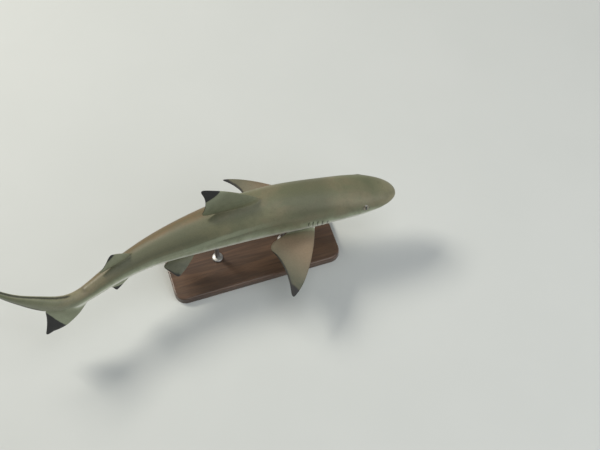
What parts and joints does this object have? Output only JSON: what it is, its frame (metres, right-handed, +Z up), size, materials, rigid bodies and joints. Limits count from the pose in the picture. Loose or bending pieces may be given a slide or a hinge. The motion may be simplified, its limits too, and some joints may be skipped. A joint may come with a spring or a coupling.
{
  "type": "blacktip reef shark model",
  "caption": "Life-size still model of a young blacktip reef shark gliding in a gentle S-bend, held level on two short rods above a flat display base.",
  "frame": {"origin": "middle of the stand's flat underside", "axes": "+X runs along the line from tail tip to snout tip, towards the head; +Y is the shark's left side; +Z is up"},
  "size_m": [0.7186, 0.2473, 0.2441],
  "materials": {
    "skin": "fine-grained olive brown skin, paler below, with black fin tips and a wet sheen",
    "eye": "glossy eye with a pale iris and a dark upright pupil",
    "base": "dark stained wood with a satin lacquer",
    "rod": "brushed steel"
  },
  "bodies": {
    "root": {"head": "skin", "trunk": "skin", "tail_stalk": "skin", "caudal_upper_lobe": "skin", "caudal_lower_lobe": "skin", "first_dorsal_fin": "skin", "second_dorsal_fin": "skin", "anal_fin": "skin", "pectoral_fin_left": "skin", "pectoral_fin_right": "skin", "pelvic_fin_left": "skin", "pelvic_fin_right": "skin", "eye_left": "eye", "eye_right": "eye", "stand_base": "base", "stand_rod_front": "rod", "stand_rod_rear": "rod"}
  },
  "joints": []
}
